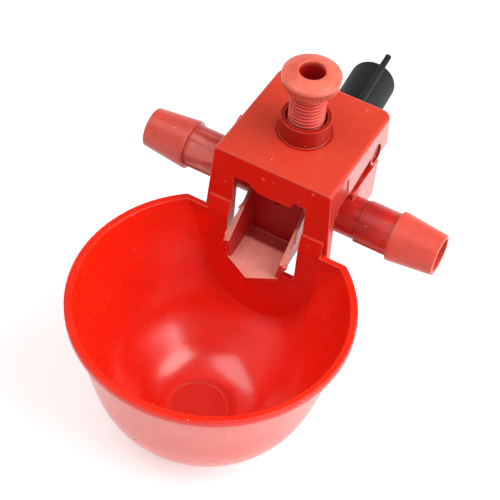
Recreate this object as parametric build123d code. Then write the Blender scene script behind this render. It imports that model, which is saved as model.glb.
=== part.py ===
from build123d import *
import math
import os

# Poultry drinking cup that hangs on a hose tee. Millimetres, +Z up, +X along
# the hose, the bowl's round front towards -Y. Sizes are set out from the
# middle of the underside of the bowl; the finished pieces are moved so that
# the origin is the middle of the tee's pipe.

# Bowl
rim_radius = 40.0
rim_width = 2.3
lip_height = 2.2
bowl_height = 52.0
bowl_wall = 1.7
rim_round = 0.5
under_lip_radius = 38.9
flank_radius = 34.8
flank_height = 31.0
belly_radius = 32.1
belly_height = 20.0
bilge_radius = 27.9
bilge_height = 12.0
heel_radius = 22.3
heel_height = 6.0
base_radius = 13.0
base_thickness = 1.8
disc_radius = 8.9
disc_depth = 0.3
disc_shift_x = -1.2
disc_shift_y = -1.6

# Housing at the back of the bowl
chord_y = 28.6
housing_width = 36.3
housing_depth = 39.9
housing_rise = 23.3
housing_draft = 3.6
top_plate = 2.2
front_wall = 2.5
side_wall = 2.0
rear_wall = 1.7
leg_drop = 12.0
leg_depth = 2.6
leg_depth_high = 4.4
strip_drop = 9.9
strip_front_drop = 10.5
strip_high_drop = 6.0
rear_corner_radius = 3.0
top_edge_radius = 1.2
front_edge_radius = 0.4
panel_length = 9.0
panel_depth = 0.3
ear_height = 5.0
ear_width = 6.8
ear_step = 0.6
nib_reach = 1.8
nib_height = 1.6

# Pips on the front face
pip_radius = 0.5
pip_left = -2.4
pip_left_drop = 4.3
pip_right = 12.8
pip_right_drop = 1.7

# Window in the front of the housing
window_width = 22.7
window_top_drop = 8.2
window_sill_drop = 14.0
window_corner = 1.2
tongue_drop = 2.4
tongue_left = 6.4
tongue_right = 7.4
tongue_ramp = 2.8
tongue_round = 1.1

# Threaded collar in the top plate
collar_y = 49.5
collar_radius = 7.3
collar_height = 6.0
counterbore_radius = 6.0
counterbore_depth = 3.0
boss_length = 1.7

# Adjusting screw
thread_pitch = 1.25
thread_radius = 5.2
thread_depth = 0.65
thread_clearance = 0.06
screw_stand = 14.9
screw_cone = 2.7
head_radius = 8.3
head_cap = 1.4
head_edge = 0.4
head_dome = 1.2
knurl_radius = 7.95
knurl_height = 2.4
knurl_count = 72
knurl_depth = 0.3
socket_radius = 3.7
socket_depth = 9.0
socket_ring = 0.7

# Spring under the screw
spring_length = 9.0
spring_radius = 3.2
spring_wire = 0.7
spring_turns = 4.5
spring_gap = 0.1

# Tee that carries the cup
pipe_y = 46.3
pipe_drop = 21.1
pipe_radius = 6.05
neck_radius = 6.3
bore_radius = 4.7
neck_start = 22.9
barb_start = 33.1
barb_peak = 33.3
barb_land = 0.9
barb_tip = 47.2
barb_radius = 7.45
barb_tip_radius = 6.1
tip_bore_radius = 5.0
seam_height = 0.35
seam_width = 0.6
seam_tilt = 26.0

# Valve chamber and chute of the tee
chute_width = 16.8
chute_flare = 0.8
chute_wall = 1.5
chute_edge = 1.0
chute_floor = 1.3
chute_front_y = 24.2
chute_front_height = 7.4
chute_front_drop = 11.9
chute_fall = 2.3
chute_wall_rise = 10.9
chute_wall_joint = 0.5
chute_nose = 4.0
chamber_front_y = 36.2
chamber_rear_y = 57.0
chamber_rise = 1.1
chamber_round = 1.0
outlet_radius = 1.2
outlet_rise = 3.4
seat_height = 1.0
seat_recess = 0.8
lug_radius = 0.9
lug_reach = 0.9
lug_drop = 1.2

# Rear port and its rubber plug
port_end_y = 80.6
plug_gap = 0.8
plug_radius = 7.3
plug_length = 21.6
plug_round = 2.0
plug_stem = 8.0
plug_lean = 4.0
plug_offset = 1.0
tab_width = 2.0
tab_height = 1.4
tab_reach = 4.4
tab_round = 0.7
tab_turn = 17.0

# Cheeks and pins on which the cup tilts
pin_y = 60.0
pin_drop = 7.8
pin_radius = 2.3
pin_clearance = 0.06
pin_recess = 0.6
cheek_inner = 14.4
cheek_outer = 18.7
cheek_rear_y = 63.0
cheek_top_drop = 12.8
cheek_height = 14.4
crest_y = 55.0
crest_height = 2.6
crest_inset = 1.0
web_outer = 15.8
web_half_width = 5.0
pocket_radius = 3.0
pocket_depth = 0.7
lobe_margin = 1.3

# Derived levels
rim_z = bowl_height
top_z = rim_z + housing_rise
front_y = chord_y + rear_wall
back_y = front_y + housing_depth
under_plate_z = top_z - top_plate
pipe_z = top_z - pipe_drop
pin_z = top_z - pin_drop
draft = math.tan(math.radians(housing_draft))
leg_z = rim_z - leg_drop
strip_z = top_z - strip_drop
strip_front_z = top_z - strip_front_drop
strip_high_z = top_z - strip_high_drop
chamber_top_z = pipe_z + pipe_radius + chamber_rise
seat_z = chamber_top_z + seat_height - seat_recess
screw_tip_z = seat_z + spring_length + 2 * spring_gap
far = 4 * (rim_radius + housing_depth)


def half_width(z):
    """Half of the housing's outside width at height z."""
    return housing_width / 2 + draft * (top_z - z)


def block(x0, x1, y0, y1, z0, z1):
    """A box between two corners."""
    solid = Box(x1 - x0, y1 - y0, z1 - z0)
    return Pos((x0 + x1) / 2, (y0 + y1) / 2, (z0 + z1) / 2) * solid


def along_x(points, x0, x1):
    """A (y, z) outline extruded from x0 to x1."""
    outline = Plane.YZ.offset(x0) * Polygon(*points, align=None)
    return extrude(outline, amount=x1 - x0)


def along_y(points, y0, y1):
    """An (x, z) outline extruded from y0 to y1."""
    outline = Plane.XZ.offset(-y0) * Polygon(*points, align=None)
    return extrude(outline, amount=y0 - y1)


def rod_x(radius, x0, x1, y, z):
    """A cylinder along X."""
    return Pos((x0 + x1) / 2, y, z) * Rot(0, 90, 0) * Cylinder(radius, x1 - x0)


def rod_y(radius, y0, y1, x, z):
    """A cylinder along Y."""
    return Pos(x, (y0 + y1) / 2, z) * Rot(90, 0, 0) * Cylinder(radius, y1 - y0)


def rod_z(radius, z0, z1, y):
    """A cylinder along Z in the middle plane."""
    return Pos(0, y, (z0 + z1) / 2) * Cylinder(radius, z1 - z0)


def turned(points, curves=()):
    """A (radius, z) outline turned about Z; curves replace some sides."""
    sides = []
    for index, start in enumerate(points):
        end = points[(index + 1) % len(points)]
        if index in curves:
            sides.append(curves[index])
        else:
            sides.append(Line((start[0], 0, start[1]), (end[0], 0, end[1])))
    return revolve(make_face(Curve() + sides), Axis.Z)


def side_curve(points, start_tangent, end_tangent):
    """A smooth (radius, z) curve with given directions at its ends."""
    places = [(r, 0, z) for r, z in points]
    ends = [(r, 0, z) for r, z in (start_tangent, end_tangent)]
    return Spline(*places, tangents=ends)


def quarter(centre, radius, start, end):
    """A quarter round about a (radius, z) centre, between two angles."""
    places = []
    for angle in (start, (start + end) / 2, end):
        turn = math.radians(angle)
        places.append((centre[0] + radius * math.cos(turn), 0, centre[1] + radius * math.sin(turn)))
    return ThreePointArc(*places)


def bowl_outside():
    """The full outside of the bowl with its lip, solid to the axis."""
    lip_z = rim_z - lip_height
    stations = [
        (base_radius, 0),
        (heel_radius, heel_height),
        (bilge_radius, bilge_height),
        (belly_radius, belly_height),
        (flank_radius, flank_height),
        (under_lip_radius, lip_z),
    ]
    wall = side_curve(stations, (1, 0.3), (0.22, 1))
    points = [
        (0, 0),
        (base_radius, 0),
        (under_lip_radius, lip_z),
        (rim_radius, lip_z),
        (rim_radius, rim_z - rim_round),
        (rim_radius - rim_round, rim_z),
        (0, rim_z),
    ]
    rounding = quarter((rim_radius - rim_round, rim_z - rim_round), rim_round, 0, 90)
    return turned(points, {1: wall, 4: rounding})


def bowl_inside():
    """The hollow of the bowl, open above the rim."""
    lip_z = rim_z - lip_height
    stations = [
        (base_radius, base_thickness),
        (heel_radius - 0.5 * bowl_wall, heel_height + 0.87 * bowl_wall),
        (bilge_radius - 0.75 * bowl_wall, bilge_height + 0.66 * bowl_wall),
        (belly_radius - 0.9 * bowl_wall, belly_height + 0.43 * bowl_wall),
        (flank_radius - bowl_wall, flank_height),
        (under_lip_radius - bowl_wall, lip_z),
    ]
    wall = side_curve(stations, (1, 0.25), (0.22, 1))
    inner = rim_radius - rim_width
    points = [
        (0, base_thickness),
        (base_radius, base_thickness),
        (under_lip_radius - bowl_wall, lip_z),
        (inner, rim_z - rim_round),
        (inner + rim_round, rim_z),
        (inner + rim_round, rim_z + lip_height),
        (0, rim_z + lip_height),
    ]
    rounding = quarter((inner + rim_round, rim_z - rim_round), rim_round, 180, 90)
    disc = rod_z(disc_radius, base_thickness - disc_depth, rim_z, disc_shift_y)
    return turned(points, {1: wall, 3: rounding}) + Pos(disc_shift_x, 0, 0) * disc


def bowl():
    """Bowl cut off by a flat back wall."""
    hollow = bowl_inside() & block(-far, far, -far, chord_y, -far, far)
    return bowl_outside() - hollow - block(-far, far, front_y, far, -far, far)


def housing_outside():
    """Drafted block of the housing with its rounded edges."""
    low = half_width(leg_z)
    high = half_width(top_z)
    solid = along_y([(-low, leg_z), (low, leg_z), (high, top_z), (-high, top_z)], front_y, back_y)
    upright = solid.edges().filter_by(Axis.Z, tolerance=2 * housing_draft).group_by(Axis.Y)
    solid = fillet(upright[-1], rear_corner_radius)
    top = solid.faces().sort_by(Axis.Z)[-1].edges().sort_by(Axis.Y)
    solid = fillet(top[1:], top_edge_radius)
    front = solid.faces().sort_by(Axis.Y)[0].edges()
    return fillet(front.filter_by(Axis.X).sort_by(Axis.Z)[-1], front_edge_radius)


def strip_cut():
    """Everything under the side strips, behind the legs."""
    low_y = front_y + leg_depth
    high_y = front_y + leg_depth_high
    outline = [
        (low_y, leg_z - 1),
        (far, leg_z - 1),
        (far, strip_z),
        (pin_y, strip_z),
        (pin_y, strip_high_z),
        (high_y, strip_front_z),
    ]
    lobe = rod_x(pin_radius + lobe_margin, -far, far, pin_y, pin_z)
    nib = block(-far, far, high_y - 1, high_y + nib_reach, strip_front_z - nib_height, strip_z + 1)
    return along_x(outline, -far, far) - lobe - nib


def housing_hollow():
    """Inside of the housing, with draft on its sides."""
    low = half_width(leg_z - 1) - side_wall
    high = half_width(under_plate_z) - side_wall
    outline = [(-low, leg_z - 1), (low, leg_z - 1), (high, under_plate_z), (-high, under_plate_z)]
    return along_y(outline, front_y + front_wall, back_y - side_wall)


def window():
    """Front opening with the tongue that hangs from its top edge."""
    high = top_z - window_top_drop
    low = rim_z - window_sill_drop
    wide = window_width / 2
    tongue = high - tongue_drop
    outline = Polygon(
        (-wide, low),
        (wide, low),
        (wide, high),
        (tongue_right, high),
        (tongue_right - tongue_ramp / 4, tongue),
        (tongue_ramp - tongue_left, tongue),
        (-tongue_left, high),
        (-wide, high),
        align=None,
    )
    bottom = outline.vertices().group_by(Axis.Y)[0]
    outline = fillet(bottom, window_corner)
    ends = outline.vertices().filter_by(lambda v: abs(v.Y - tongue) < tongue_drop / 4)
    outline = fillet(ends, tongue_round)
    start = Plane.XZ.offset(1 - chord_y) * outline
    return extrude(start, amount=-(rear_wall + front_wall + 2))


def ears():
    """Two raised tabs of the bowl's back wall, in front of the legs."""
    inner = window_width / 2
    outline = [
        (chord_y, rim_z - lip_height),
        (front_y, rim_z - lip_height),
        (front_y, rim_z + ear_height),
        (front_y - ear_step, rim_z + ear_height),
        (chord_y, rim_z),
    ]
    tab = along_x(outline, inner, inner + ear_width)
    return tab + mirror(tab, Plane.YZ)


def side_panels():
    """Shallow recesses at the front of both side strips."""
    panels = Part()
    start = front_y + front_wall
    for side in (-1, 1):
        outer = half_width(top_z)
        x0, x1 = sorted((side * outer, side * far))
        slab = block(x0, x1, start, start + panel_length, leg_z, top_z - 2 * top_edge_radius)
        lean = math.copysign(housing_draft, side)
        hinge = Pos(side * (outer - panel_depth), 0, top_z) * Rot(0, -lean, 0) * Pos(-side * outer, 0, -top_z)
        panels += hinge * slab
    return panels


def pin_holes():
    """Round holes for the pins, each with a wider mouth."""
    cuts = rod_x(pin_radius + pin_clearance, -far, far, pin_y, pin_z)
    outer = half_width(pin_z)
    for side in (-1, 1):
        x0, x1 = sorted((side * (outer - pocket_depth), side * far))
        cuts += rod_x(pocket_radius, x0, x1, pin_y, pin_z)
    return cuts


def pips():
    """Small moulding pips on the housing's front face."""
    found = Part()
    for x, drop in ((pip_left, pip_left_drop), (pip_right, pip_right_drop)):
        found += Pos(x, front_y, top_z - drop) * Sphere(pip_radius)
    return found


def make_cup_housing():
    """Bowl, housing and collar as one moulding."""
    shell = housing_outside() - housing_hollow() - strip_cut() - side_panels()
    shell += rod_z(collar_radius, under_plate_z - boss_length, top_z + collar_height, collar_y)
    shell += bowl() + ears() + pips()
    shell -= window()
    shell -= pin_holes()
    shell -= rod_z(thread_radius + thread_clearance, 0, far, collar_y)
    mouth_z = top_z + collar_height
    shell -= rod_z(counterbore_radius, mouth_z - counterbore_depth, far, collar_y)
    return shell


def both_sides(stations):
    """An (x, radius) outline along +X together with its mirror image."""
    left = [(-x, r) for x, r in reversed(stations)]
    return [(left[0][0], 0)] + left + stations + [(stations[-1][0], 0)]


def hose_pipe():
    """Outside of the pipe with its two barbs and mould seams."""
    stations = [
        (neck_start, pipe_radius),
        (neck_start, neck_radius),
        (barb_start, neck_radius),
        (barb_peak, barb_radius),
        (barb_peak + barb_land, barb_radius),
        (barb_tip, barb_tip_radius),
    ]
    pipe = revolve(Polygon(*both_sides(stations), align=None), Axis.X)
    half = seam_width / 2
    reach = neck_radius + seam_height
    for side in (-1, 1):
        x0, x1 = sorted((side * neck_start, side * barb_peak))
        pipe += Rot(seam_tilt, 0, 0) * block(x0, x1, -reach, reach, -half, half)
    return Pos(0, pipe_y, pipe_z) * pipe


def pipe_bore():
    """Water way through the pipe, a little wider at its ends."""
    stations = [(barb_peak, bore_radius), (barb_tip, tip_bore_radius), (barb_tip + 1, tip_bore_radius)]
    bore = revolve(Polygon(*both_sides(stations), align=None), Axis.X)
    return Pos(0, pipe_y, pipe_z) * bore


def chute():
    """Open trough with sloping walls and a pointed nose."""
    half = chute_width / 2
    low = rim_z - chute_front_drop
    run = chamber_front_y - chute_front_y
    back = chamber_front_y + chute_wall_joint
    nose_y = chute_front_y - chute_nose
    fall = chute_fall / run
    nose_z = low - fall * chute_nose
    back_z = low + fall * (back - chute_front_y)
    plan = Polygon(
        (-half, back),
        (-half, chute_front_y),
        (0, nose_y),
        (half, chute_front_y),
        (half, back),
        align=None,
    )
    slab = along_x(
        [(nose_y, nose_z), (back, back_z), (back, back_z + chute_floor), (nose_y, nose_z + chute_floor)],
        -half,
        half,
    )
    trough = slab & extrude(Pos(0, 0, nose_z - 1) * plan, amount=housing_rise)
    top_front = low + chute_front_height
    wall = flared_wall(low, top_front, back_z, top_front + chute_wall_rise, back)
    wall += lug(top_front)
    return trough + wall + mirror(wall, Plane.YZ)


def wall_section(y, low, high):
    """Section of the trough's right wall, thinner at its top."""
    half = chute_width / 2
    edge = half + chute_flare
    outline = Polygon(
        (half - chute_wall, low),
        (half, low),
        (edge, high),
        (edge - chute_edge, high),
        align=None,
    )
    return Plane.XZ.offset(-y) * outline


def flared_wall(low_front, high_front, low_back, high_back, back):
    """Right wall of the trough, which rises towards the chamber."""
    front = wall_section(chute_front_y, low_front, high_front)
    rear = wall_section(back, low_back, high_back)
    return loft([front, rear], ruled=True)


def lug(top_front):
    """Round outward lug at the front end of the trough's right wall."""
    edge = chute_width / 2 + chute_flare
    return rod_x(
        lug_radius,
        edge - chute_edge,
        edge + lug_reach,
        chute_front_y + lug_radius,
        top_front - lug_drop,
    )


def chamber():
    """Valve chamber between the chute and the rear port."""
    half = chute_width / 2
    run = chamber_front_y - chute_front_y
    low = rim_z - chute_front_drop + chute_fall
    body = block(-half, half, chamber_front_y, chamber_rear_y, low, chamber_top_z)
    body = fillet(body.edges().filter_by(Axis.X).group_by(Axis.Y)[-1], chamber_round * 3)
    body = fillet(body.faces().sort_by(Axis.Z)[-1].edges(), chamber_round)
    seat_radius = spring_radius + spring_wire / 2 + seat_recess
    seat = rod_z(seat_radius + 1, chamber_top_z - chamber_round, chamber_top_z + seat_height, collar_y)
    return body + seat - rod_z(seat_radius, seat_z, far, collar_y)


def cheek(side):
    """Plate beside the housing with a web that carries the pin."""
    top = top_z - cheek_top_drop
    x0, x1 = sorted((side * cheek_inner, side * cheek_outer))
    plate = block(x0, x1, pipe_y, cheek_rear_y, top - cheek_height, top)
    crest = [
        (pipe_y + crest_inset, top - crest_inset),
        (pipe_y + crest_inset, top),
        (crest_y, top + crest_height),
        (crest_y + crest_inset, top - crest_inset),
    ]
    plate += along_x(crest, x0, x1)
    w0, w1 = sorted((side * cheek_inner, side * web_outer))
    web = rod_x(web_half_width, w0, w1, pin_y, pin_z)
    web += block(w0, w1, pin_y - web_half_width, cheek_rear_y, top - 1, pin_z)
    p0, p1 = sorted((side * (cheek_inner + 0.5), side * (half_width(pin_z) - pin_recess)))
    return plate + web + rod_x(pin_radius, p0, p1, pin_y, pin_z)


def make_tee_body():
    """Hose tee with chute, chamber, rear port, cheeks and pins."""
    body = hose_pipe() + chamber() + chute()
    body += rod_y(neck_radius, pipe_y, port_end_y, 0, pipe_z)
    body += cheek(-1) + cheek(1)
    body -= pipe_bore()
    body -= rod_y(bore_radius, pipe_y, far, 0, pipe_z)
    outlet_z = pipe_z + outlet_rise
    body -= rod_y(outlet_radius, chamber_front_y - 1, pipe_y, 0, outlet_z)
    return body


def thread_outline(low, high):
    """Saw of ridges between two heights, as (radius, z) points."""
    count = int((high - low) / thread_pitch)
    minor = thread_radius - thread_depth
    points = [(minor, low)]
    for index in range(count):
        base = low + index * thread_pitch
        points.append((thread_radius, base + 0.45 * thread_pitch))
        points.append((thread_radius, base + 0.55 * thread_pitch))
        points.append((minor, base + thread_pitch))
    return points


def knurled_band(z0):
    """Grip band with fine teeth round the head."""
    points = []
    for index in range(2 * knurl_count):
        angle = math.pi * index / knurl_count
        radius = knurl_radius - knurl_depth * (index % 2)
        points.append((radius * math.cos(angle), radius * math.sin(angle)))
    return extrude(Pos(0, 0, z0) * Polygon(*points, align=None), amount=knurl_height)


def make_adjusting_screw():
    """Hollow-headed screw, its axis on the collar."""
    under_z = top_z + screw_stand
    band_z = under_z + screw_cone
    cap_z = band_z + knurl_height
    edge_z = cap_z + head_cap
    head_z = edge_z + head_dome
    ring = socket_radius + socket_ring
    root = knurl_radius - knurl_depth
    shank = thread_outline(screw_tip_z, under_z)
    points = [(0, screw_tip_z)] + shank
    points += [
        (thread_radius, under_z),
        (root, band_z),
        (root, cap_z),
        (head_radius, cap_z),
        (head_radius, edge_z - head_edge),
        (head_radius - head_edge, edge_z),
        (ring, head_z),
        (socket_radius, head_z - socket_ring / 3),
        (socket_radius, head_z - socket_depth),
        (0, head_z - socket_depth),
    ]
    dome_start = len(points) - 5
    shoulder = quarter((head_radius - head_edge, edge_z - head_edge), head_edge, 0, 90)
    dome = ThreePointArc(
        (head_radius - head_edge, 0, edge_z),
        ((head_radius - head_edge + ring) / 2, 0, edge_z + 0.66 * head_dome),
        (ring, 0, head_z),
    )
    body = turned(points, {dome_start - 1: shoulder, dome_start: dome})
    body += knurled_band(band_z) - rod_z(socket_radius, cap_z - socket_depth, far, 0)
    return Pos(0, collar_y, 0) * body


def make_pressure_spring():
    """Compression spring from the tee's seat to the screw."""
    height = spring_length - spring_wire
    path = Helix(height / spring_turns, height, spring_radius)
    section = Plane(path @ 0, z_dir=path % 0) * Circle(spring_wire / 2)
    coil = sweep(section, path=path, is_frenet=True)
    return Pos(0, collar_y, seat_z + spring_gap + spring_wire / 2) * coil


def make_rubber_plug():
    """Rubber plug of the rear port, leaning a little to one side."""
    head = rod_y(plug_radius, plug_gap, plug_gap + plug_length, 0, 0)
    head = fillet(head.edges().sort_by(Axis.Y)[-1], plug_round)
    tab_end = plug_gap + plug_length + tab_reach
    tab = block(-tab_width / 2, tab_width / 2, plug_gap, tab_end, 0, plug_radius + tab_height)
    tip = tab.faces().sort_by(Axis.Y)[-1].edges()
    tab = fillet(tip.filter_by(Axis.X).sort_by(Axis.Z), tab_width)
    tab = fillet(tab.edges().filter_by(Axis.Y).group_by(Axis.Z)[-1], tab_round)
    stem = rod_y(bore_radius, -plug_stem, plug_gap + 1, 0, 0)
    outer = head + Rot(0, tab_turn, 0) * tab
    plug = Pos(plug_offset, 0, 0) * Rot(0, 0, plug_lean) * outer + stem
    return Pos(0, port_end_y, pipe_z) * plug


def main():
    os.makedirs("parts", exist_ok=True)
    pieces = {
        "cup_housing": make_cup_housing(),
        "tee_body": make_tee_body(),
        "adjusting_screw": make_adjusting_screw(),
        "pressure_spring": make_pressure_spring(),
        "rubber_plug": make_rubber_plug(),
    }
    for name, piece in pieces.items():
        export_step(Pos(0, -pipe_y, -pipe_z) * piece, f"parts/{name}.step")


main()
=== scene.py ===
import math

import bmesh
import bpy
from mathutils import Matrix, Vector


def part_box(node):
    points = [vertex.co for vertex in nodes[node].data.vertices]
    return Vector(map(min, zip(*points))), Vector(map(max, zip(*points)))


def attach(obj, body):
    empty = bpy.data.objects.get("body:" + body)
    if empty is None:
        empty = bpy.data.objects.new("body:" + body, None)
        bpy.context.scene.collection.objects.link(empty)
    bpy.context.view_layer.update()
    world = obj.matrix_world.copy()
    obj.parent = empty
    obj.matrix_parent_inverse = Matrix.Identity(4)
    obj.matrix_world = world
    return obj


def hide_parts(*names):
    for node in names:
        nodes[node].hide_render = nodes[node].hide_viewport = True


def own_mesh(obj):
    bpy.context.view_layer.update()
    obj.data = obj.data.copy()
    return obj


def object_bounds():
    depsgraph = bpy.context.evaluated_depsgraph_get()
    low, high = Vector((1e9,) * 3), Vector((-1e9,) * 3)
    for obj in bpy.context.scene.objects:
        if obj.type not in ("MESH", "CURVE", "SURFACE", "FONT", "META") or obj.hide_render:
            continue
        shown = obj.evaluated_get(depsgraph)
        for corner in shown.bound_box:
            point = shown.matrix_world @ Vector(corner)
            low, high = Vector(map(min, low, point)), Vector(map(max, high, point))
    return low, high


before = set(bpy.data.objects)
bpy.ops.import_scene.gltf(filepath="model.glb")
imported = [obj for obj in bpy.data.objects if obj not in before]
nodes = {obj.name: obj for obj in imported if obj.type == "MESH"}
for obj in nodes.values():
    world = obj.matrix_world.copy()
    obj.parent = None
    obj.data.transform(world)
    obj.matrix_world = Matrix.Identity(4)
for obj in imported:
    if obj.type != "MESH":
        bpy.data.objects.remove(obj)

MM = 0.001
cad_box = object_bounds()
screw_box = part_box("adjusting_screw")
spring_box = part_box("pressure_spring")

# Camera, at the photograph's angle
CAMERA_PLACE = Vector((107.0, -259.8, 294.0)) * MM
CAMERA_AZIMUTH = math.radians(-24.49)
CAMERA_ELEVATION = math.radians(48.97)
CAMERA_ROLL = math.radians(6.03)
CAMERA_LENS = 100.8
SENSOR_WIDTH = 36.0
CLIP_START = 0.01

# Floor and world: white to the camera, plain light on the object, and a grey
# ceiling for what shines in it from above
WHITE = (1.0, 1.0, 1.0, 1.0)
FLOOR_Z = cad_box[0][2]
FLOOR_REACH = 3.0
FLOOR_BASE = 0.8
FLOOR_ROUGHNESS = 0.9
FLOOR_SPECULAR = 0.1
FLOOR_GLOW = 0.42
WORLD_LIGHT = 0.40
CEILING_RISE = (0.25, 0.55)
CEILING_LIGHT = 0.08

# Lamps: name, direction seen from the bowl, width, height, power in watts
LAMP_DISTANCE = 0.8
LAMPS = [
    ("lamp_right", (0.74, 0.18, 0.65), 0.80, 0.80, 7.7),
    ("lamp_left", (-0.34, -0.22, 0.91), 0.75, 0.50, 2.6),
]

# Adjusting screw, as in the solid
SCREW_AXIS_Y = 3.2 * MM
SCREW_AXIS = (0.0, SCREW_AXIS_Y, 0.0)
HEAD_RADIUS = 8.3 * MM
HEAD_CAP = 1.4 * MM
HEAD_DOME = 1.2 * MM
HEAD_EDGE = 0.4 * MM
SCREW_CONE = 2.7 * MM
KNURL_RADIUS = 7.95 * MM
KNURL_HEIGHT = 2.4 * MM
SOCKET_RADIUS = 3.7 * MM
SOCKET_RING = 0.7 * MM
SOCKET_DEPTH = 9.0 * MM
SOCKET_ROUND = 0.25 * MM
SOCKET_DRAFT = 0.15 * MM

# Its thread and knurl: flank and crest are shares of the pitch
THREAD_PITCH = 1.25 * MM
THREAD_RADIUS = 5.2 * MM
THREAD_DEPTH = 0.65 * MM
THREAD_FLANK = 0.34
THREAD_CREST = 0.16
THREAD_LEAD = 1.2 * THREAD_PITCH
THREAD_RUNOUT = 0.4 * THREAD_PITCH
THREAD_POINTS = 96
ROWS_PER_PITCH = 12
KNURL_COUNT = 72
KNURL_DEPTH = 0.3 * MM
KNURL_CHAMFER = 0.15 * MM
HEAD_POINTS = 4 * KNURL_COUNT
EDGE_STEPS = 4
DOME_STEPS = 6
DOME_POWER = 0.75

# Pressure spring: closed turns at each end, and room under it for the cup's tilt
SPRING_RADIUS = 3.2 * MM
SPRING_WIRE = 0.7 * MM
SPRING_TURNS = 4.5
SPRING_CLOSED = 0.75
SPRING_CLOSED_PITCH = 0.9 * SPRING_WIRE
SPRING_ROOM = 0.65 * MM
SPRING_STEPS = 220
WIRE_POINTS = 10

# Moulding flash: its line and direction on the right side in mm, then for each
# strip the share along it and the reach in mm
FLASH_THICKNESS = 0.3 * MM
FLASH_ROOT = 0.3
FLASH_TIP = 0.4
CHUTE_FLASH = ((8.95, -10.6, 3.2), (8.95, -21.9, -6.7), (1.0, 0.0, -0.25))
PIN_FLASH = ((18.1, 9.6, 14.7), (18.1, 13.8, 11.4), (0.25, 0.35, 0.9))
LEFT_TEAR = [
    (0.12, 0.0), (0.26, 0.5), (0.33, 1.1), (0.35, 0.4), (0.46, 0.5), (0.54, 0.9), (0.56, 0.6),
    (0.70, 0.9), (0.80, 1.3), (0.88, 1.6), (0.92, 1.1), (0.95, 1.3), (0.98, 0.3),
]
RIGHT_TEAR = [
    (0.30, 0.0), (0.42, 0.7), (0.50, 1.0), (0.58, 0.7), (0.66, 0.9), (0.74, 0.6), (0.82, 1.0),
    (0.90, 1.4), (0.94, 1.0), (0.98, 0.4),
]
PIN_TEAR = [
    (0.0, 0.1), (0.14, 0.9), (0.22, 0.4), (0.38, 1.2), (0.46, 0.6), (0.60, 1.3), (0.72, 0.5),
    (0.86, 0.8), (1.0, 0.1),
]

# Degrees between two faces from which their edge stays sharp
SCREW_SHARP = 32.0
SPRING_SHARP = 60.0
PLAIN_SHARP = 30.0

# Axes of the bowl and of the tee's pins, and what is left of an offset from them
BOWL_AXIS = Vector((0.0, -46.3, 0.0)) * MM
PIN_AXIS = Vector((0.0, 13.7, 13.3)) * MM
UPRIGHT = (1.0, 1.0, 0.0)
CROSSWISE = (0.0, 1.0, 1.0)

# Bounds in mm between which a finish fades in: none of it at the first, all of
# it at the second
RIM = -2.2
HOUSING_Y = (-21.0, -17.5)
LEG_X = (18.5, 17.0)
OVER_LEGS_Z = (-6.0, -3.5)
TOP_Z = (20.3, 20.9)
TOP_FROM_SCREW = (7.9, 8.7)
COLLAR_FROM_SCREW = (8.4, 7.9)
OUTER_WALL_Y = (-16.0, -18.0)
OUTER_WALL_Z = (RIM - 1.5, RIM - 2.5)
BOTTOM_RADIUS = (11.0, 8.5)
BOTTOM_Z = (-46.0, -50.0)
PIN_RADIUS = (3.2, 2.9)
PIN_HOLE_X = (12.0, 14.0)
PIN_END_X = (15.0, 16.0)
BOWL_GLOSS_Y = (-17.0, -20.0)
BOWL_GLOSS_Z = (RIM - 1.0, RIM - 3.0)
CUP_GLOSS_Y = (-9.0, -4.0)
TEE_GLOSS_Y = (3.0, 5.0)
NECK_X = (-20.0, -12.0)
OUTER_NECK_START_X = (20.0, 23.0)
OUTER_NECK_END_X = (30.0, 26.0)
LEFT_X = (-12.0, -20.0)
TIP_X = (31.5, 34.5)
CHUTE_Y = (-9.6, -10.4)
CHUTE_BACK_Y = (-9.0, -9.8)
CHUTE_BACK_END_Y = (-13.0, -12.0)
CHALK_AND_REFLECTION_Y = (-13.2, -14.6)
THREAD_UNDER_TOP = (-7.0, -8.5)
SOCKET_UNDER_TOP = (-0.3, -2.0)

# Screw: depth of the thread's crest that is kept out of the painted shade in its roots, and the
# height in which the painted shade in the knurl's grooves fades in
THREAD_CREST_LIT = 0.2 * MM
KNURL_FADE = 0.2 * MM

# Shares of a face's normal between which it counts as turned that way
SIDEWAYS = (0.7, 0.9)
OUTWARD = (0.0, 0.35)
GLOSS_OUTWARD = (0.1, 0.3)
UPWARD = (0.0, 0.05)
CHUTE_SIDEWAYS = (0.6, 0.8)
CHUTE_UPWARD = (0.5, 0.75)
CHUTE_FORWARD = (-0.6, -0.85)

# Swell at the foot of the bowl's wall, by distance in mm from the bowl's axis
SWELL_FOOT = (8.5, 13.0)
SWELL_FOOT_SHARE = 0.47
SWELL_WALL = (34.0, 14.0)
SWELL_HEIGHT = 1.1 * MM

# Gloss of the moulded faces
SIDE_GLOSS = 0.65
BOWL_GLOSS = 0.95
OUTER_DULLING = 0.6
GLOSS_IOR = 1.7


def linear(red, green, blue):
    """A colour given as 0 to 255 on screen, as the shader wants it."""
    out = []
    for value in (red, green, blue):
        value /= 255.0
        out.append(value / 12.92 if value <= 0.04045 else ((value + 0.055) / 1.055) ** 2.4)
    return (*out, 1.0)


def add_node(tree, kind, **settings):
    """A new node of a material or world."""
    node = tree.nodes.new(kind)
    for key, value in settings.items():
        setattr(node, key, value)
    return node


def fix(node, settings):
    """Sets a node's own sockets from a {name: value}."""
    for name, value in settings.items():
        node.inputs[name].default_value = value


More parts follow.
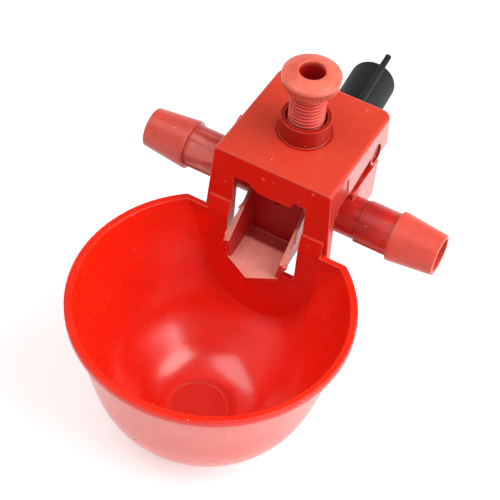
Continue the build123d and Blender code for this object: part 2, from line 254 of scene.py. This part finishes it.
class Shader:
    """A material under construction, with short calls for its nodes."""

    def __init__(self, name):
        self.material = bpy.data.materials.new(name)
        self.material.use_nodes = True
        self.tree = self.material.node_tree
        self.surface = self.tree.nodes["Principled BSDF"]
        self.place = self.add("ShaderNodeTexCoord").outputs["Object"]
        self.geometry = self.add("ShaderNodeNewGeometry").outputs
        self.along = self.parts(self.place)
        self.facing = self.parts(self.geometry["True Normal"])

    def add(self, kind, **settings):
        return add_node(self.tree, kind, **settings)

    def link(self, source, target):
        self.tree.links.new(source, target)

    def put(self, value, target):
        """Links a socket, or sets a plain value."""
        if isinstance(value, bpy.types.NodeSocket):
            self.link(value, target)
        else:
            target.default_value = value

    def drive(self, name, source):
        """Links a source to one of the surface's own sockets."""
        self.link(source, self.surface.inputs[name])

    def parts(self, vector):
        """The x, y and z of a vector."""
        node = self.add("ShaderNodeSeparateXYZ")
        self.link(vector, node.inputs[0])
        return node.outputs

    def math(self, operation, first, second=0.0):
        node = self.add("ShaderNodeMath", operation=operation)
        self.put(first, node.inputs[0])
        self.put(second, node.inputs[1])
        return node.outputs[0]

    def vectors(self, operation, first, second=None):
        node = self.add("ShaderNodeVectorMath", operation=operation)
        self.put(first, node.inputs[0])
        if second is not None:
            self.put(second, node.inputs[1])
        return node.outputs

    def size(self, value):
        """A value without its sign."""
        return self.math("ABSOLUTE", value)

    def both(self, *masks):
        """Where all the masks hold."""
        most = masks[0]
        for mask in masks[1:]:
            most = self.math("MULTIPLY", most, mask)
        return most

    def step(self, value, bounds, unit=1.0, kind="SMOOTHSTEP"):
        """0 up to the first bound and 1 from the second, which may be the lower."""
        low, high = bounds
        node = self.add("ShaderNodeMapRange", interpolation_type=kind)
        fix(node, {
            "From Min": min(low, high) * unit,
            "From Max": max(low, high) * unit,
            "To Min": 0.0 if low < high else 1.0,
            "To Max": 1.0 if low < high else 0.0,
        })
        self.put(value, node.inputs["Value"])
        return node.outputs["Result"]

    def fade(self, value, bounds, kind="SMOOTHSTEP"):
        """A step with its bounds in mm."""
        return self.step(value, bounds, MM, kind)

    def distance(self, centre, kept=UPRIGHT):
        """Offset and distance from an axis; kept drops the axis's own direction."""
        offset = self.vectors("SUBTRACT", self.place, centre)[0]
        flat = self.vectors("MULTIPLY", offset, kept)[0]
        return flat, self.vectors("LENGTH", flat)["Value"]

    def stretched(self, scale):
        """Object coordinates with a scale of their own along each axis."""
        mapping = self.add("ShaderNodeMapping")
        mapping.inputs["Scale"].default_value = scale
        self.link(self.place, mapping.inputs["Vector"])
        return mapping.outputs["Vector"]

    def noise(self, scale, detail=3.0, distortion=0.0, place=None):
        node = self.add("ShaderNodeTexNoise")
        fix(node, {"Scale": scale, "Detail": detail, "Distortion": distortion})
        self.link(place or self.place, node.inputs["Vector"])
        return node.outputs["Fac"]

    def ramp(self, value, stops):
        """Maps a value through (position, colour or number) stops."""
        node = self.add("ShaderNodeValToRGB")
        band = node.color_ramp
        while len(band.elements) < len(stops):
            band.elements.new(0.5)
        for element, (position, colour) in zip(band.elements, stops):
            element.position = position
            if not isinstance(colour, tuple):
                colour = (colour, colour, colour, 1.0)
            element.color = colour
        self.link(value, node.inputs["Fac"])
        return node.outputs["Color"]

    def mix(self, factor, first, second, **settings):
        """Blends two colours; each may be a socket or a plain colour."""
        node = self.add("ShaderNodeMix", data_type="RGBA", **settings)
        self.put(factor, node.inputs[0])
        self.put(first, node.inputs[6])
        self.put(second, node.inputs[7])
        return node.outputs[2]

    def speckled(self, scale, specks):
        """Sparse round specks, 1 on a speck and 0 elsewhere, by (radius, share)."""
        radius, share = specks
        cells = self.add("ShaderNodeTexVoronoi")
        cells.inputs["Scale"].default_value = scale
        self.link(self.place, cells.inputs["Vector"])
        colour = self.add("ShaderNodeSeparateColor")
        self.link(cells.outputs["Color"], colour.inputs[0])
        near = self.math("LESS_THAN", cells.outputs["Distance"], radius)
        some = self.math("LESS_THAN", self.math("FRACT", colour.outputs[0]), share)
        return self.both(near, some)

    def bumps(self, normal, layers, target="Normal"):
        """Stacks (height, strength, distance) layers on a normal."""
        for height, strength, distance in layers:
            node = self.add("ShaderNodeBump")
            fix(node, {"Strength": strength, "Distance": distance})
            self.link(height, node.inputs["Height"])
            self.link(normal, node.inputs["Normal"])
            normal = node.outputs["Normal"]
        self.drive(target, normal)

    def rounded(self, radius):
        """The normal with small rounded edges, and a mask of those edges."""
        bevel = self.add("ShaderNodeBevel", samples=6)
        bevel.inputs["Radius"].default_value = radius
        agree = self.vectors("DOT_PRODUCT", bevel.outputs[0], self.geometry["Normal"])["Value"]
        return bevel.outputs[0], self.ramp(agree, [(0.84, 1.0), (0.99, 0.0)])


def moulded(name, tones, regions, roughness, mottle, glow, swell=None):
    """Moulded plastic: cloudy colour, a painted highlight in patches on its edges, dust, fine
    grain.

    Regions are (share, colour) pairs laid over the three tones in turn. Mottle is how
    much darker the fine speckle gets, and glow the share of light that passes through
    the skin. Swell gives a (height, strength, distance) layer of its own.
    """
    shader = Shader(name)
    deep, plain, pale = tones
    clouds = shader.noise(38.0, detail=4.0, distortion=0.6)
    colour = shader.ramp(clouds, [(0.28, deep), (0.5, plain), (0.78, pale)])
    for share, tone in regions(shader):
        colour = shader.mix(share, colour, tone)
    speckle = shader.ramp(shader.noise(420.0), [(0.3, 1.0 - mottle), (0.7, 1.0)])
    colour = shader.mix(1.0, colour, speckle, blend_type="MULTIPLY")
    normal, edge = shader.rounded(0.30 * MM)
    # Painted highlight: a pale orange line on the rounded edges, broken into patches by noise
    lit_edge = shader.ramp(shader.noise(260.0, detail=4.0), [(0.35, 0.35), (0.65, 1.0)])
    colour = shader.mix(shader.both(edge, lit_edge), colour, linear(255, 142, 104))
    dust = shader.both(shader.speckled(360.0, (0.06, 0.32)), 0.8)
    colour = shader.mix(dust, colour, linear(255, 215, 200))
    shader.drive("Base Color", colour)
    low, high = roughness
    patches = shader.noise(95.0, detail=5.0)
    shader.drive("Roughness", shader.ramp(patches, [(0.3, low), (0.75, high)]))
    waves = shader.noise(130.0, detail=0.0)
    grain = shader.noise(1800.0, detail=1.0)
    streaks = shader.noise(1.0, detail=2.0, place=shader.stretched((420.0, 60.0, 60.0)))
    layers = [swell(shader)] if swell else []
    shader.bumps(normal, layers + [
        (waves, 0.12, 0.4 * MM),
        (grain, 0.05, 0.04 * MM),
        (streaks, 0.04, 0.05 * MM),
        (dust, 0.30, 0.06 * MM),
    ])
    fix(shader.surface, {
        "IOR": 1.49,
        "Subsurface Weight": glow,
        "Subsurface Radius": (1.0, 0.25, 0.18),
        "Subsurface Scale": 2.0 * MM,
        "Coat Roughness": 0.22,
    })
    return shader


def turned_out(shader):
    """How far a face turns away from the bowl's axis, from -1 to 1."""
    from_axis, _ = shader.distance(BOWL_AXIS)
    outward = shader.vectors("NORMALIZE", from_axis)[0]
    return shader.vectors("DOT_PRODUCT", shader.geometry["True Normal"], outward)["Value"]


def sideways(shader, bounds=SIDEWAYS):
    """Faces turned left or right."""
    return shader.step(shader.size(shader.facing[0]), bounds)


def at_pin(shader, beyond):
    """Within a pin's radius, and further out than the bounds in mm."""
    x = shader.along[0]
    _, from_pin = shader.distance(PIN_AXIS, CROSSWISE)
    return shader.both(shader.fade(from_pin, PIN_RADIUS), shader.fade(shader.size(x), beyond))


def glossy_sides(shader, behind):
    """Side faces behind the bounds in mm, polished by the mould."""
    y = shader.along[1]
    return shader.both(shader.fade(y, behind), sideways(shader), SIDE_GLOSS)


def rounder_floor(shader):
    """A low swell where the bowl's floor turns up into its wall."""
    _, from_middle = shader.distance(BOWL_AXIS)
    foot = shader.fade(from_middle, SWELL_FOOT, "LINEAR")
    foot = shader.both(foot, foot, SWELL_FOOT_SHARE)
    swell = shader.math("ADD", foot, shader.fade(from_middle, SWELL_WALL))
    return shader.both(swell, shader.step(shader.facing[2], UPWARD)), 1.0, SWELL_HEIGHT


def cup_regions(shader):
    """Thick housing deeper, its top dust with a painted sheen.

    The bowl's outer wall is pale with a painted reflection of the floor. Painted shade darkens
    the housing's sides, the collar, the pin holes and the bowl's floor.
    """
    x, y, z = shader.along
    over_legs = shader.fade(z, OVER_LEGS_Z)
    legs = shader.fade(shader.size(x), LEG_X)
    housing = shader.both(shader.fade(y, HOUSING_Y), shader.math("MAXIMUM", over_legs, legs))
    _, from_screw = shader.distance(SCREW_AXIS)
    above = shader.fade(z, TOP_Z)
    top = shader.both(above, shader.fade(from_screw, TOP_FROM_SCREW))
    collar = shader.both(above, shader.fade(from_screw, COLLAR_FROM_SCREW))
    outside = shader.both(
        shader.step(turned_out(shader), OUTWARD),
        shader.fade(y, OUTER_WALL_Y),
        shader.fade(z, OUTER_WALL_Z),
        0.9,
    )
    _, from_middle = shader.distance(BOWL_AXIS)
    bottom = shader.both(shader.fade(from_middle, BOTTOM_RADIUS), shader.fade(z, BOTTOM_Z))
    # Dust and a painted pale sheen on the housing's top
    dust_and_sheen = shader.mix(shader.noise(60.0), linear(208, 58, 38), linear(220, 74, 50))
    # Painted reflection: the bowl's outer wall painted pale, as the white floor shows in it
    pale = shader.mix(shader.noise(30.0, detail=2.0), linear(236, 70, 52), linear(246, 96, 76))
    return [
        # Painted shade: the flat floor of the bowl a little darker
        (bottom, linear(224, 27, 6)),
        (housing, linear(228, 34, 17)),
        # Painted shade: the housing's side faces a deeper, greyer red, picked out by the way they
        # face
        (shader.both(housing, sideways(shader)), linear(188, 50, 40)),
        # Painted shade in the pin holes
        (at_pin(shader, PIN_HOLE_X), linear(150, 22, 18)),
        (top, dust_and_sheen),
        # Painted shade on the collar round the screw
        (collar, linear(172, 26, 14)),
        (outside, pale),
    ]


def cup_plastic():
    """Bright red, thin and lively in the bowl, deeper in the housing."""
    tones = (linear(242, 31, 6), linear(246, 35, 8), linear(249, 42, 11))
    shader = moulded(
        "cup_plastic", tones, cup_regions,
        roughness=(0.24, 0.34), mottle=0.06, glow=0.08, swell=rounder_floor,
    )
    _, y, z = shader.along
    bowl = shader.both(shader.fade(y, BOWL_GLOSS_Y), shader.fade(z, BOWL_GLOSS_Z))
    outside = shader.step(turned_out(shader), GLOSS_OUTWARD)
    share = shader.math("SUBTRACT", BOWL_GLOSS, shader.both(outside, OUTER_DULLING))
    gloss = shader.math("MAXIMUM", shader.both(bowl, share), glossy_sides(shader, CUP_GLOSS_Y))
    shader.drive("Coat Weight", gloss)
    shader.bumps(shader.geometry["Normal"], [rounder_floor(shader)], "Coat Normal")
    fix(shader.surface, {"IOR": 1.42, "Coat IOR": GLOSS_IOR})
    return shader.material


def tee_regions(shader):
    """Necks deep with painted shade, barbs paler with a painted sheen.

    The chute's floor is chalky, with a painted pale reflection at its front and a painted shadow
    at its back; its walls and back and the pins' ends are dark with painted shade, and the left
    side and some streaks get a painted sheen.
    """
    x, y, _ = shader.along
    _, normal_y, normal_z = shader.facing
    outer_neck = shader.both(shader.fade(x, OUTER_NECK_START_X), shader.fade(x, OUTER_NECK_END_X))
    bands = shader.noise(1.0, place=shader.stretched((50.0, 330.0, 330.0)))
    left = shader.both(shader.fade(x, LEFT_X), shader.step(bands, (0.42, 0.62)), 0.85)
    chute = shader.fade(y, CHUTE_Y)
    floor = shader.both(chute, shader.step(normal_z, CHUTE_UPWARD))
    back = shader.both(
        shader.fade(y, CHUTE_BACK_Y),
        shader.step(normal_y, CHUTE_FORWARD),
        shader.fade(y, CHUTE_BACK_END_Y),
    )
    chalk_and_reflection = shader.mix(
        shader.noise(260.0, detail=4.0), linear(230, 130, 118), linear(240, 150, 136),
    )
    return [
        # Painted shade on the middle of the tee, near the housing
        (shader.fade(x, NECK_X), linear(204, 30, 21)),
        # Painted shade, deeper, on the right neck
        (outer_neck, linear(182, 24, 17)),
        # Painted sheen in streaks along the tee
        (shader.both(shader.step(bands, (0.45, 0.65)), 0.25), linear(232, 108, 92)),
        # Painted sheen on the left side
        (left, linear(242, 128, 112)),
        # Painted sheen on the barbs' tips
        (shader.fade(shader.size(x), TIP_X), linear(226, 81, 65)),
        # Painted shade on the chute's side walls
        (shader.both(chute, sideways(shader, CHUTE_SIDEWAYS)), linear(184, 36, 36)),
        # Painted shade on the back of the chute
        (back, linear(160, 5, 8)),
        # Painted shade on the pins' ends, inside the holes
        (at_pin(shader, PIN_END_X), linear(158, 24, 20)),
        # Painted shadow on the chute's floor
        (floor, linear(158, 30, 30)),
        # Chalky look and a painted pale reflection on the front of the chute's floor
        (shader.both(floor, shader.fade(y, CHALK_AND_REFLECTION_Y)), chalk_and_reflection),
    ]


def tee_plastic():
    """Duller, slightly clear red of the tee."""
    tones = (linear(188, 40, 32), linear(206, 54, 44), linear(220, 76, 64))
    shader = moulded(
        "tee_plastic", tones, tee_regions, roughness=(0.30, 0.44), mottle=0.14, glow=0.05,
    )
    shader.drive("Coat Weight", glossy_sides(shader, TEE_GLOSS_Y))
    fix(shader.surface, {"Coat IOR": GLOSS_IOR})
    return shader.material


def screw_regions(shader):
    """Painted shade: the thread deeper than the head, its roots and the knurl's grooves deeper
    still, the socket dark.
    """
    z = shader.along[2]
    _, from_axis = shader.distance(SCREW_AXIS)
    top = screw_box[1][2]
    from_top = shader.math("SUBTRACT", z, top)
    thread = shader.fade(from_top, THREAD_UNDER_TOP)
    # Radius inside which the painted shade in the thread's roots begins
    lit_edge = THREAD_RADIUS - THREAD_CREST_LIT
    root = shader.step(from_axis, (lit_edge, THREAD_RADIUS - THREAD_DEPTH))
    socket = shader.both(
        shader.step(from_axis, (SOCKET_RADIUS + SOCKET_ROUND, SOCKET_RADIUS)),
        shader.fade(from_top, SOCKET_UNDER_TOP),
    )
    high = top - HEAD_DOME - HEAD_CAP
    low = high - KNURL_HEIGHT
    bottom = KNURL_RADIUS - KNURL_DEPTH
    grooves = shader.both(
        shader.step(from_axis, (KNURL_RADIUS, bottom)),
        shader.step(from_axis, (bottom - KNURL_DEPTH, bottom)),
        shader.step(z, (low, low + KNURL_FADE)),
        shader.step(z, (high, high - KNURL_FADE / 2)),
    )
    return [
        # Painted shade in the knurl's grooves
        (grooves, linear(196, 44, 30)),
        # Painted shade on the thread, under the head
        (thread, linear(240, 78, 66)),
        # Painted shade in the thread's roots
        (shader.both(thread, root), linear(188, 34, 28)),
        # Painted shade in the socket
        (socket, linear(186, 18, 16)),
    ]


def screw_plastic():
    """Pinkish red of the adjusting screw."""
    tones = (linear(226, 84, 62), linear(246, 118, 94), linear(252, 148, 124))
    shader = moulded(
        "screw_plastic", tones, screw_regions, roughness=(0.34, 0.48), mottle=0.22, glow=0.04,
    )
    fix(shader.surface, {"Coat Weight": 0.10})
    return shader.material


def plug_rubber():
    """Black rubber with a bloom of dust and a painted pale highlight on its edges."""
    shader = Shader("plug_rubber")
    clouds = shader.noise(70.0, detail=5.0)
    colour = shader.ramp(clouds, [(0.3, linear(21, 22, 23)), (0.7, linear(37, 39, 41))])
    normal, edge = shader.rounded(0.35 * MM)
    # Painted highlight: the rubber's rounded edges painted a pale blue-grey
    colour = shader.mix(shader.both(edge, 0.7), colour, linear(110, 114, 118))
    dust = shader.both(shader.speckled(420.0, (0.09, 0.2)), 0.4)
    shader.drive("Base Color", shader.mix(dust, colour, linear(150, 150, 150)))
    shader.drive("Roughness", shader.ramp(clouds, [(0.3, 0.52), (0.7, 0.68)]))
    grain = shader.noise(900.0)
    waves = shader.noise(120.0, detail=1.0)
    shader.bumps(normal, [(grain, 0.25, 0.12 * MM), (waves, 0.15, 0.4 * MM)])
    fix(shader.surface, {"Specular IOR Level": 0.25})
    return shader.material


def spring_steel():
    """Drawn wire with fine lines and a little tarnish."""
    shader = Shader("spring_steel")
    clouds = shader.noise(240.0)
    colour = shader.ramp(clouds, [(0.35, linear(150, 148, 144)), (0.7, linear(192, 192, 194))])
    shader.drive("Base Color", colour)
    shader.drive("Roughness", shader.ramp(clouds, [(0.3, 0.24), (0.7, 0.42)]))
    lines = shader.noise(3000.0, detail=2.0)
    shader.bumps(shader.geometry["Normal"], [(lines, 0.15, 0.05 * MM)])
    fix(shader.surface, {"Metallic": 1.0})
    return shader.material


def ring(mesh, radius, height, count, centre, wobble=None):
    """A closed row of points; wobble(index) changes the radius."""
    row = []
    for index in range(count):
        angle = math.tau * index / count
        reach = radius + (wobble(index) if wobble else 0.0)
        row.append(mesh.verts.new((
            centre[0] + reach * math.cos(angle),
            centre[1] + reach * math.sin(angle),
            height,
        )))
    return row


def skin(mesh, lower, upper):
    """Faces between two rows; the upper may be a whole multiple denser."""
    step = len(upper) // len(lower)
    for index, start in enumerate(lower):
        after = lower[(index + 1) % len(lower)]
        edge = [upper[(index * step + k) % len(upper)] for k in range(step + 1)]
        if step == 1:
            mesh.faces.new((start, after, edge[1], edge[0]))
            continue
        half = step // 2
        for k in range(half):
            mesh.faces.new((start, edge[k + 1], edge[k]))
        mesh.faces.new((start, after, edge[half]))
        for k in range(half, step):
            mesh.faces.new((after, edge[k + 1], edge[k]))


def capped(mesh, rows):
    """Skins rows in turn and closes both ends."""
    for lower, upper in zip(rows, rows[1:]):
        skin(mesh, lower, upper)
    mesh.faces.new(rows[0])
    mesh.faces.new(rows[-1])


def finished(mesh, name, material, angle):
    """Turns a bmesh into an object with smooth shading up to an angle."""
    bmesh.ops.recalc_face_normals(mesh, faces=mesh.faces)
    data = bpy.data.meshes.new(name)
    mesh.to_mesh(data)
    mesh.free()
    data.shade_smooth()
    data.set_sharp_from_angle(angle=math.radians(angle))
    data.materials.append(material)
    return placed(name, data)


def placed(name, data):
    """Puts a mesh, lamp or camera in the scene."""
    piece = bpy.data.objects.new(name, data)
    bpy.context.scene.collection.objects.link(piece)
    return piece


def clamped(value):
    return min(1.0, max(0.0, value))


def thread_height(phase):
    """Share of the thread's depth at a phase from 0 to 1 of its pitch."""
    distance = abs(phase - 0.5)
    share = clamped(1.0 - (distance - THREAD_CREST / 2) / THREAD_FLANK)
    return share * share * (3.0 - 2.0 * share)


def thread_rows(mesh, tip, under, centre):
    """Rows of the helical thread, from the tip up to the underside of the head."""
    minor = THREAD_RADIUS - THREAD_DEPTH
    count = int((under - tip) / THREAD_PITCH * ROWS_PER_PITCH)

    def on_thread(height):
        fade = clamped((height - tip) / THREAD_LEAD)
        fade = min(fade, clamped((under - height) / THREAD_RUNOUT))

        def wobble(index):
            turn = (height - tip) / THREAD_PITCH - index / THREAD_POINTS
            return THREAD_DEPTH * thread_height(turn % 1.0) * fade
        return wobble

    rows = [ring(mesh, minor * 0.9, tip, THREAD_POINTS, centre)]
    for step in range(1, count + 1):
        height = tip + (under - tip) * step / count
        rows.append(ring(mesh, minor, height, THREAD_POINTS, centre, on_thread(height)))
    return rows


def head_outline(under, top):
    """(radius, height, wobble) of the head, from its cone to the socket's floor."""
    def knurl(index):
        return -KNURL_DEPTH * (0.5 + 0.5 * math.cos(math.tau * index * KNURL_COUNT / HEAD_POINTS))

    edge = top - HEAD_DOME
    cap = edge - HEAD_CAP
    band = cap - KNURL_HEIGHT
    small = KNURL_CHAMFER
    outline = [
        (THREAD_RADIUS - THREAD_DEPTH + 2 * small, under, None),
        (KNURL_RADIUS - KNURL_DEPTH - small, band - small, None),
        (KNURL_RADIUS - small, band + small, knurl),
        (KNURL_RADIUS, band + 2 * small, knurl),
        (KNURL_RADIUS, cap - small, knurl),
        (KNURL_RADIUS, cap, None),
        (HEAD_RADIUS - small, cap + 0.3 * small, None),
        (HEAD_RADIUS, cap + 1.5 * small, None),
    ]
    for step in range(EDGE_STEPS + 1):
        turn = math.pi / 2 * step / EDGE_STEPS
        outline.append((
            HEAD_RADIUS - HEAD_EDGE * (1 - math.cos(turn)),
            edge - HEAD_EDGE * (1 - math.sin(turn)),
            None,
        ))
    lip = SOCKET_RADIUS + SOCKET_RING
    shoulder = HEAD_RADIUS - HEAD_EDGE
    for step in range(1, DOME_STEPS + 1):
        share = step / DOME_STEPS
        reach = shoulder + (lip - shoulder) * share
        outline.append((reach, edge + HEAD_DOME * share ** DOME_POWER, None))
    return outline + [
        (SOCKET_RADIUS + SOCKET_ROUND, top, None),
        (SOCKET_RADIUS, top - SOCKET_ROUND, None),
        (SOCKET_RADIUS - SOCKET_DRAFT / 3, top - 0.5 * SOCKET_DEPTH, None),
        (SOCKET_RADIUS - SOCKET_DRAFT, top - SOCKET_DEPTH, None),
    ]


def threaded_screw(material):
    """The adjusting screw with a true helical thread and a knurled head."""
    centre = (0.0, SCREW_AXIS_Y)
    tip = screw_box[0][2]
    top = screw_box[1][2]
    under = top - HEAD_DOME - HEAD_CAP - KNURL_HEIGHT - SCREW_CONE
    mesh = bmesh.new()
    rows = thread_rows(mesh, tip, under, centre)
    for reach, height, wobble in head_outline(under, top):
        rows.append(ring(mesh, reach, height, HEAD_POINTS, centre, wobble))
    capped(mesh, rows)
    return finished(mesh, "screw_threaded", material, SCREW_SHARP)


def coiled_spring(material):
    """Compression spring with closed ends, where the solid one is.

    Its foot has room for the cup's tilt.
    """
    low = spring_box[0][2] + SPRING_ROOM + SPRING_WIRE / 2
    high = spring_box[1][2] - SPRING_WIRE / 2
    span = (high - low) - 2 * SPRING_CLOSED * SPRING_CLOSED_PITCH
    mesh = bmesh.new()
    rows = []
    for step in range(SPRING_STEPS + 1):
        turn = SPRING_TURNS * step / SPRING_STEPS
        live = clamped((turn - SPRING_CLOSED) / (SPRING_TURNS - 2 * SPRING_CLOSED))
        closed = min(turn, SPRING_CLOSED) + max(0.0, turn - (SPRING_TURNS - SPRING_CLOSED))
        height = low + SPRING_CLOSED_PITCH * closed + span * live
        angle = math.tau * turn
        outward = Vector((math.cos(angle), math.sin(angle), 0.0))
        middle = outward * SPRING_RADIUS + Vector((0.0, SCREW_AXIS_Y, height))
        row = []
        for index in range(WIRE_POINTS):
            turned = math.tau * index / WIRE_POINTS
            offset = outward * math.cos(turned) + Vector((0.0, 0.0, math.sin(turned)))
            row.append(mesh.verts.new(middle + offset * SPRING_WIRE / 2))
        rows.append(row)
    capped(mesh, rows)
    return finished(mesh, "spring_coil", material, SPRING_SHARP)


def flash(name, start, end, outward, torn, material):
    """A torn strip of moulding flash along a line.

    Torn lists (share along the line, reach in mm) pairs.
    """
    along = (end - start).normalized()
    across = along.cross(outward).normalized() * FLASH_THICKNESS / 2
    thin = across * FLASH_TIP
    mesh = bmesh.new()
    rows = []
    for share, reach in torn:
        foot = start.lerp(end, share) - outward * FLASH_ROOT * MM
        tip = foot + outward * (reach + FLASH_ROOT) * MM
        corners = (foot + across, tip + thin, tip - thin, foot - across)
        rows.append([mesh.verts.new(place) for place in corners])
    capped(mesh, rows)
    return finished(mesh, name, material, PLAIN_SHARP)


def on_side(side, place):
    """A place or direction of the right side, mirrored for side -1."""
    x, y, z = place
    return Vector((side * x, y, z))


def moulding_flash():
    """Torn flash beside the chute's walls and under the pin holes."""
    clear = nodes["tee_body"].data.materials[0]
    bright = nodes["cup_housing"].data.materials[0]
    sides = ((-1.0, "left", LEFT_TEAR), (1.0, "right", RIGHT_TEAR))
    strips = []
    for side, word, torn in sides:
        start, end, outward = (on_side(side, place) for place in CHUTE_FLASH)
        name = "chute_flash_" + word
        piece = flash(name, start * MM, end * MM, outward.normalized(), torn, clear)
        strips.append((piece, "tee", "tee_plastic"))
    for side, word, _ in sides:
        start, end, outward = (on_side(side, place) for place in PIN_FLASH)
        name = "pin_flash_" + word
        piece = flash(name, start * MM, end * MM, outward.normalized(), PIN_TEAR, bright)
        strips.append((piece, "cup", "cup_plastic"))
    for piece, body, slot in strips:
        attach(piece, body)


def dress_nodes():
    """Gives the carried-over solids their materials."""
    finishes = {
        "cup_housing": cup_plastic(),
        "tee_body": tee_plastic(),
        "rubber_plug": plug_rubber(),
    }
    for name, material in finishes.items():
        data = nodes[name].data
        data.materials.clear()
        data.materials.append(material)


def camera():
    """Puts the camera where the photograph was taken from."""
    level = Vector((math.cos(CAMERA_AZIMUTH), -math.sin(CAMERA_AZIMUTH), 0.0))
    ahead = Vector((
        math.sin(CAMERA_AZIMUTH) * math.cos(CAMERA_ELEVATION),
        math.cos(CAMERA_AZIMUTH) * math.cos(CAMERA_ELEVATION),
        -math.sin(CAMERA_ELEVATION),
    ))
    above = level.cross(ahead)
    right = level * math.cos(CAMERA_ROLL) + above * math.sin(CAMERA_ROLL)
    up = above * math.cos(CAMERA_ROLL) - level * math.sin(CAMERA_ROLL)
    data = bpy.data.cameras.new("camera")
    data.lens = CAMERA_LENS
    data.sensor_width = SENSOR_WIDTH
    data.clip_start = CLIP_START
    piece = placed("camera", data)
    turn = Matrix((right, up, -ahead)).transposed().to_4x4()
    piece.matrix_world = Matrix.Translation(CAMERA_PLACE) @ turn
    bpy.context.scene.camera = piece


def lamp(name, direction, width, height, power):
    """A soft lamp that faces the bowl."""
    data = bpy.data.lights.new(name, "AREA")
    data.shape = "RECTANGLE"
    data.size = width
    data.size_y = height
    data.energy = power
    piece = placed(name, data)
    toward = Vector(direction).normalized()
    piece.location = BOWL_AXIS + toward * LAMP_DISTANCE
    piece.rotation_euler = toward.to_track_quat("Z", "Y").to_euler()


def seen_share(tree):
    """1 for rays that show the backdrop: from the camera, a gloss or a clear body."""
    path = add_node(tree, "ShaderNodeLightPath")
    share = path.outputs["Is Camera Ray"]
    for other in ("Is Glossy Ray", "Is Transmission Ray"):
        most = add_node(tree, "ShaderNodeMath", operation="MAXIMUM")
        tree.links.new(share, most.inputs[0])
        tree.links.new(path.outputs[other], most.inputs[1])
        share = most.outputs[0]
    return share


def white_floor():
    """White floor that keeps the object's shadow."""
    mesh = bmesh.new()
    corners = []
    for x, y in ((-1, -1), (1, -1), (1, 1), (-1, 1)):
        corners.append(mesh.verts.new((x * FLOOR_REACH, y * FLOOR_REACH, FLOOR_Z)))
    mesh.faces.new(corners)
    material = bpy.data.materials.new("floor_white")
    material.use_nodes = True
    tree = material.node_tree
    surface = tree.nodes["Principled BSDF"]
    fix(surface, {
        "Base Color": (FLOOR_BASE, FLOOR_BASE, FLOOR_BASE, 1.0),
        "Roughness": FLOOR_ROUGHNESS,
        "Specular IOR Level": FLOOR_SPECULAR,
        "Emission Color": WHITE,
    })
    strength = add_node(tree, "ShaderNodeMath", operation="MULTIPLY")
    strength.inputs[1].default_value = FLOOR_GLOW
    tree.links.new(seen_share(tree), strength.inputs[0])
    tree.links.new(strength.outputs[0], surface.inputs["Emission Strength"])
    floor = finished(mesh, "floor", material, PLAIN_SHARP)


def white_world():
    """Plain light on the object; white to the camera, with a grey ceiling in gloss."""
    world = bpy.data.worlds.new("world")
    bpy.context.scene.world = world
    world.use_nodes = True
    tree = world.node_tree
    plain = tree.nodes["Background"]
    fix(plain, {"Color": WHITE, "Strength": WORLD_LIGHT})
    bright = add_node(tree, "ShaderNodeBackground")
    fix(bright, {"Color": WHITE})
    toward = add_node(tree, "ShaderNodeSeparateXYZ")
    tree.links.new(add_node(tree, "ShaderNodeTexCoord").outputs["Generated"], toward.inputs[0])
    ceiling = add_node(tree, "ShaderNodeMapRange")
    start, end = CEILING_RISE
    fix(ceiling, {"From Min": start, "From Max": end, "To Min": 1.0, "To Max": CEILING_LIGHT})
    tree.links.new(toward.outputs[2], ceiling.inputs["Value"])
    tree.links.new(ceiling.outputs["Result"], bright.inputs["Strength"])
    blend = add_node(tree, "ShaderNodeMixShader")
    tree.links.new(seen_share(tree), blend.inputs[0])
    tree.links.new(plain.outputs[0], blend.inputs[1])
    tree.links.new(bright.outputs[0], blend.inputs[2])
    tree.links.new(blend.outputs[0], tree.nodes["World Output"].inputs["Surface"])


def main():
    dress_nodes()
    screw = threaded_screw(screw_plastic())
    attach(screw, "screw")
    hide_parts("adjusting_screw")
    spring = coiled_spring(spring_steel())
    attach(spring, "spring")
    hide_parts("pressure_spring")
    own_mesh(spring)
    moulding_flash()
    camera()
    for settings in LAMPS:
        lamp(*settings)
    white_floor()
    white_world()
    bpy.context.scene.view_settings.view_transform = "Standard"


main()
